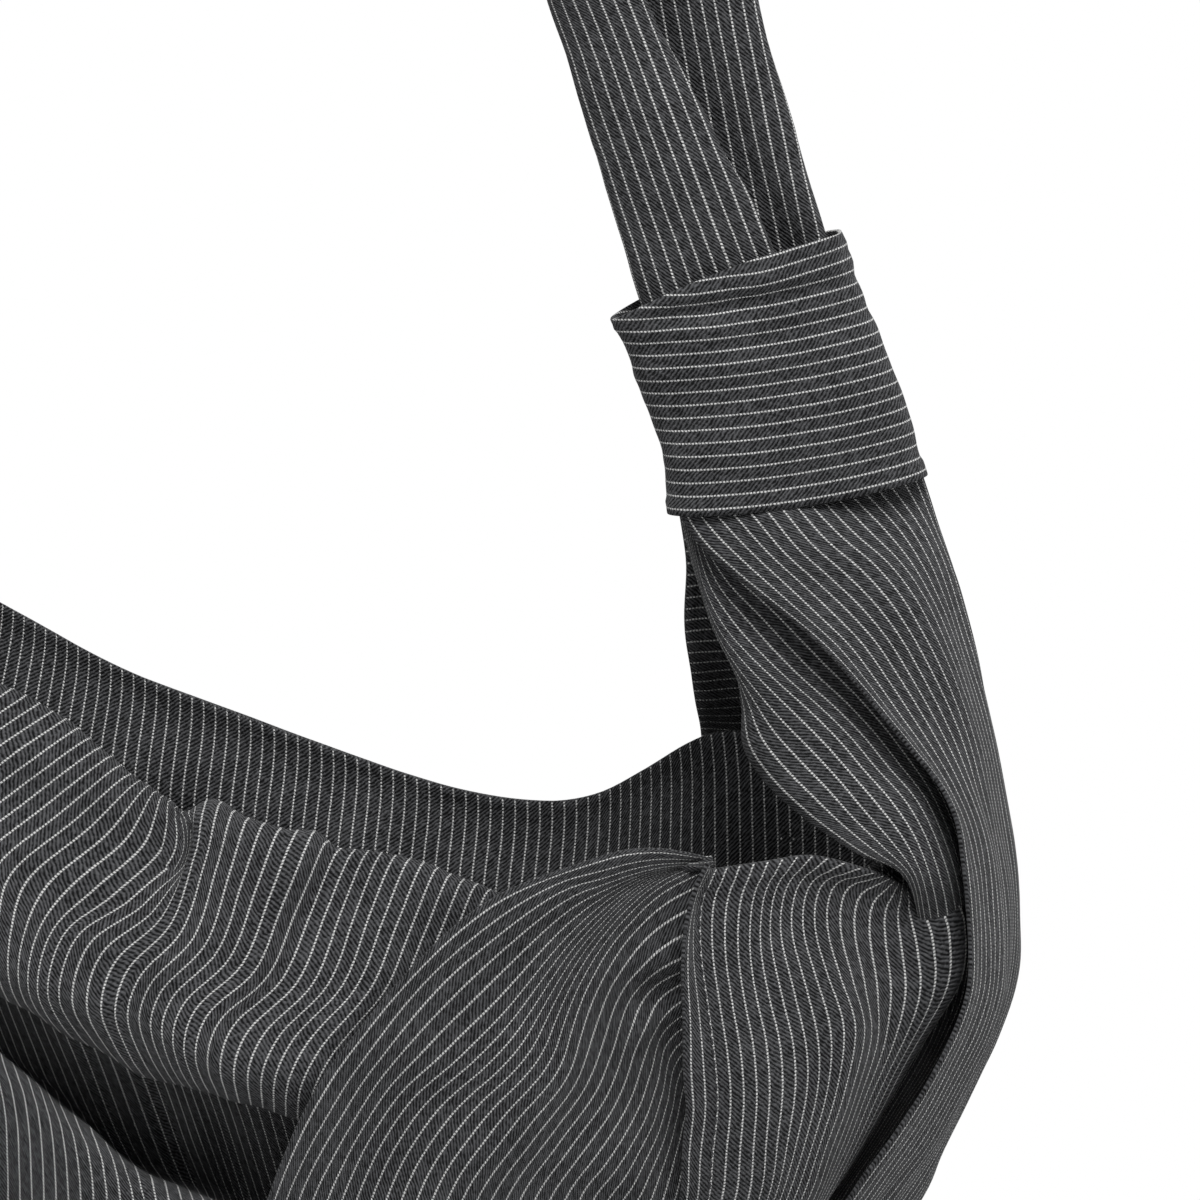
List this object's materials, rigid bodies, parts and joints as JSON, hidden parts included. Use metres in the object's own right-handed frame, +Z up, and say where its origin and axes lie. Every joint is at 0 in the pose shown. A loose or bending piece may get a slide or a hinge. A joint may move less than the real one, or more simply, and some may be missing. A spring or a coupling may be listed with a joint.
{
  "type": "japanese knot bag",
  "caption": "Slouchy pinstripe cloth handbag hung by one wide folded strap, its open mouth gathered at each side into a sliding cuff.",
  "frame": {"origin": "under the middle of the strap's top, where a hand, shoulder or hook holds the bag", "axes": "+Z up, +X to the right seen from the front, front of the bag towards -Y"},
  "size_m": [0.4914, 0.1488, 0.7034],
  "materials": {
    "suiting": "matte twill with pale pinstripes",
    "lining": "smooth lining cloth",
    "interlining": "matte felted stiffener",
    "thread": "sewing thread"
  },
  "bodies": {
    "strap": {"strap_band": "suiting", "strap_interlining": "interlining"},
    "bag": {"strap_tail_right": "suiting", "strap_tail_left": "suiting", "front_panel": "suiting", "back_panel": "suiting", "base_panel": "suiting", "front_lining": "lining", "back_lining": "lining", "base_lining": "lining", "front_rim_facing": "suiting", "back_rim_facing": "suiting", "right_wrap_panel": "suiting", "left_wrap_panel": "suiting", "right_placket": "suiting", "left_placket": "suiting", "right_placket_stitching": "thread", "left_placket_stitching": "thread", "right_shoulder": "suiting", "left_shoulder": "suiting", "right_shoulder_fold": "suiting", "left_shoulder_fold": "suiting", "right_neck_back": "suiting", "left_neck_back": "suiting"},
    "keeper_right": {"keeper_right": "suiting"},
    "keeper_left": {"keeper_left": "suiting"}
  },
  "joints": [
    {"name": "bag_swing", "type": "hinge", "parent": "strap", "child": "bag", "pos_m": [0, 0, -0.28941], "axis": [1, 0, 0], "range_deg": [-90, 90]},
    {"name": "keeper_right_slide", "type": "slide", "parent": "bag", "child": "keeper_right", "axis": [-0.2874, 0, 0.9578], "range_m": [0, 0.04]},
    {"name": "keeper_left_slide", "type": "slide", "parent": "bag", "child": "keeper_left", "axis": [0.2874, 0, 0.9578], "range_m": [0, 0.04]}
  ]
}
